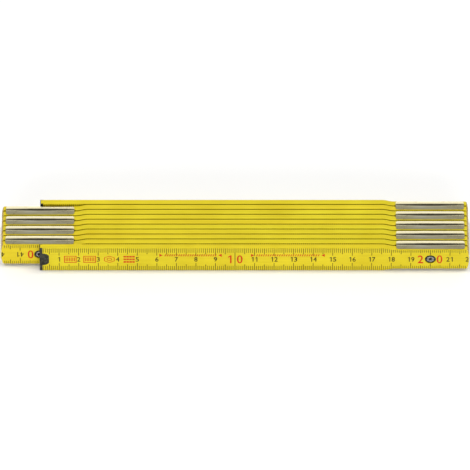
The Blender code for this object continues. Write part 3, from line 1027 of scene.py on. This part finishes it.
def welded(mesh):
    """The mesh with its doubled points made one, and softened."""
    shape = bmesh.new()
    shape.from_mesh(mesh)
    bmesh.ops.remove_doubles(shape, verts=shape.verts, dist=SAME_POINT)
    result = to_mesh(shape, mesh.name)
    return soften(result, 35)


def add_joints(plated, rivet_steel, dark):
    plate, rivet, washer = plate_mesh(), rivet_mesh(), welded(washer_mesh())
    for mesh, material in ((plate, plated), (rivet, rivet_steel), (washer, dark)):
        mesh.materials.clear()
        mesh.materials.append(material)
    for number, pivot in PIVOTS.items():
        front, back = f"segment_{number:02d}", f"segment_{number + 1:02d}"
        tag = f"{number:02d}"
        pieces = [
            ("plate_front", plate, front, "spring_plate_front", "zinc_plated_spring_steel", math.pi),
            ("plate_back", plate, back, "spring_plate_back", "zinc_plated_spring_steel", 0),
            ("rivet_rolled", rivet, back, "rivet", "zinc_plated_spring_steel", 0),
            ("ring_front", washer, front, "washer_front", "blackened_steel", 0),
            ("ring_back", washer, back, "washer_back", "blackened_steel", 0),
        ]
        for name, mesh, body, part, slot, turn in pieces:
            node = f"{part}_{tag}"
            obj = new_object(f"{name}_{tag}", mesh, body, (), [node])
            low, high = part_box(node)
            y = (low.y + high.y) / 2 if "washer" in node else pivot.y
            place(obj, (pivot.x, y, pivot.z), (turn, 0, 0))


# ---------------------------------------------------------------- end caps


def cap_mesh():
    """A folded steel clip with a pressed ring around its rivet."""
    thickness = CAP_BOX[1].y - CAP_BOX[0].y
    rounding, clearance, hole_radius = 0.1 * MM, 0.03 * MM, 0.8 * MM
    blank = rounded_slab("cap", cap_outline(0, 0), thickness, rounding)
    wall, inside = CAP_BOX[0].x + CAP_WALL - clearance, thickness / 2 - CAP_SHEET
    core = box_mesh("core", (wall, -inside, -WIDTH), (wall + 20 * MM, inside, WIDTH))
    rivet_low, rivet_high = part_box("end_cap_rivet_first")
    x = (rivet_low.x + rivet_high.x) / 2
    hole = cylinder("hole", (x, 0), hole_radius, -thickness, thickness)
    mesh = combined(blank, [core, hole], "DIFFERENCE")
    profile = [(1.3 * MM, 0), (1.4 * MM, 0.16 * MM), (1.65 * MM, 0.2 * MM)]
    profile += [(1.85 * MM, 0.14 * MM), (1.95 * MM, 0)]
    sunk = 0.1 * MM
    rings = []
    for side in (-1, 1):
        face = side * (thickness / 2 - sunk)
        loop = [(radius, face + side * height) for radius, height in profile]
        ring = welded(turned("ring", loop + loop[:1], 48))
        ring.transform(Matrix.Translation((x, 0, 0)))
        rings.append(ring)
    return soften(combined(mesh, rings, "UNION"), 40)


def cap_rivet_mesh():
    low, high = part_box("end_cap_rivet_first")
    top, radius = (high.y - low.y) / 2, (high.x - low.x) / 2
    dome, shank, steps = 0.2 * MM, 0.7 * MM, 7
    upper = [(0, top)]
    for step in range(1, steps + 1):
        angle = math.pi / 2 * step / steps
        upper.append((radius * math.sin(angle), top - dome * (1 - math.cos(angle))))
    upper.append((shank, top - dome))
    lower = [(r, -y) for r, y in reversed(upper)]
    return soften(turned("cap_rivet", upper + lower, 40), 45)


def add_caps(dark):
    cap, rivet = cap_mesh(), cap_rivet_mesh()
    for mesh in (cap, rivet):
        mesh.materials.clear()
        mesh.materials.append(dark)
    for end, number in (("first", 1), ("last", LATH_COUNT)):
        body = f"segment_{number:02d}"
        obj = new_object(f"cap_{end}", cap, body, (), [f"end_cap_{end}"])
        place(obj, (0, LATH_Y[number], MID_Z))
        obj = new_object(f"cap_rivet_{end}", rivet, body, (), [f"end_cap_rivet_{end}"])
        low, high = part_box(f"end_cap_rivet_{end}")
        place(obj, (low + high) / 2)


# ---------------------------------------------------------------- floor, light and camera


def add_floor():
    """A pale floor just under the rule, so that the two share no face."""
    shape = bmesh.new()
    down = Matrix.Translation((0, 0, -0.04 * MM))
    bmesh.ops.create_grid(shape, x_segments=8, y_segments=8, size=3, matrix=down)
    floor = temporary(to_mesh(shape, "floor"))
    floor.data.materials.append(paper_white_material())


def add_area(name, location, size, power, shines):
    """A soft light aimed at the rule. One that doesn't shine lights without showing in polished steel."""
    light = bpy.data.lights.new(name, "AREA")
    light.shape = "RECTANGLE"
    light.size, light.size_y = size
    light.energy = power
    obj = bpy.data.objects.new(name, light)
    bpy.context.scene.collection.objects.link(obj)
    obj.location = location
    obj.rotation_euler = (-Vector(location)).to_track_quat("-Z", "Y").to_euler()
    obj.visible_glossy = shines


def add_lights():
    """A white tent that is brighter low down at the back, with soft lights above and in front."""
    world = bpy.data.worlds.new("studio")
    bpy.context.scene.world = world
    world.use_nodes = True
    nodes, links = world.node_tree.nodes, world.node_tree.links
    coords = nodes.new("ShaderNodeTexCoord")
    split = nodes.new("ShaderNodeSeparateXYZ")
    from_front = nodes.new("ShaderNodeMapRange")
    from_front.inputs["From Min"].default_value = -1
    ramp = nodes.new("ShaderNodeValToRGB")
    ramp.color_ramp.interpolation = "EASE"
    elements = ramp.color_ramp.elements
    stops = [(-0.1, 0.2), (0.15, 0.43), (0.7, 0.43), (0.88, 1.6)]
    while len(elements) < len(stops):
        elements.new(0.5)
    for element, (y, strength) in zip(elements, stops):
        element.position = (y + 1) / 2
        element.color = (strength, strength, strength, 1)
    links.new(coords.outputs["Generated"], split.inputs[0])
    links.new(split.outputs["Y"], from_front.inputs["Value"])
    links.new(from_front.outputs["Result"], ramp.inputs["Fac"])
    links.new(ramp.outputs["Color"], nodes["Background"].inputs["Color"])
    nodes["Background"].inputs["Strength"].default_value = 1
    add_area("top_softbox", (0, 0.1, 2.0), (3.0, 0.5), 35, False)
    add_area("front_softbox", (0, -2.0, 0.55), (2.6, 0.8), 31, True)


def add_camera():
    """Straight on to the rule's length and halfway down between its printed face and its edges."""
    elevation = math.radians(45)
    distance = 5
    view_width = 0.24115
    target = Vector((0, 0, MID_Z))
    camera = bpy.data.cameras.new("camera")
    sensor = 36
    camera.sensor_width = sensor
    camera.lens = sensor * distance / view_width
    camera.clip_start = 0.01
    obj = bpy.data.objects.new("camera", camera)
    bpy.context.scene.collection.objects.link(obj)
    direction = Vector((0, -math.cos(elevation), math.sin(elevation)))
    obj.location = target + direction * distance
    obj.rotation_euler = (-direction).to_track_quat("-Z", "Y").to_euler()
    bpy.context.scene.camera = obj


bpy.context.scene.view_settings.view_transform = "Standard"
blackened = blackened_material()
add_laths(lacquer_material(), end_grain_material())
add_print(
    ink_material("black_ink", (0.014, 0.011, 0.004), (0.20, 0.155, 0.012)),
    ink_material("red_ink", (0.56, 0.036, 0.003), (0.62, 0.22, 0.012)),
)
add_joints(plated_material(), rivet_material(), blackened)
add_caps(blackened)
add_floor()
add_lights()
add_camera()
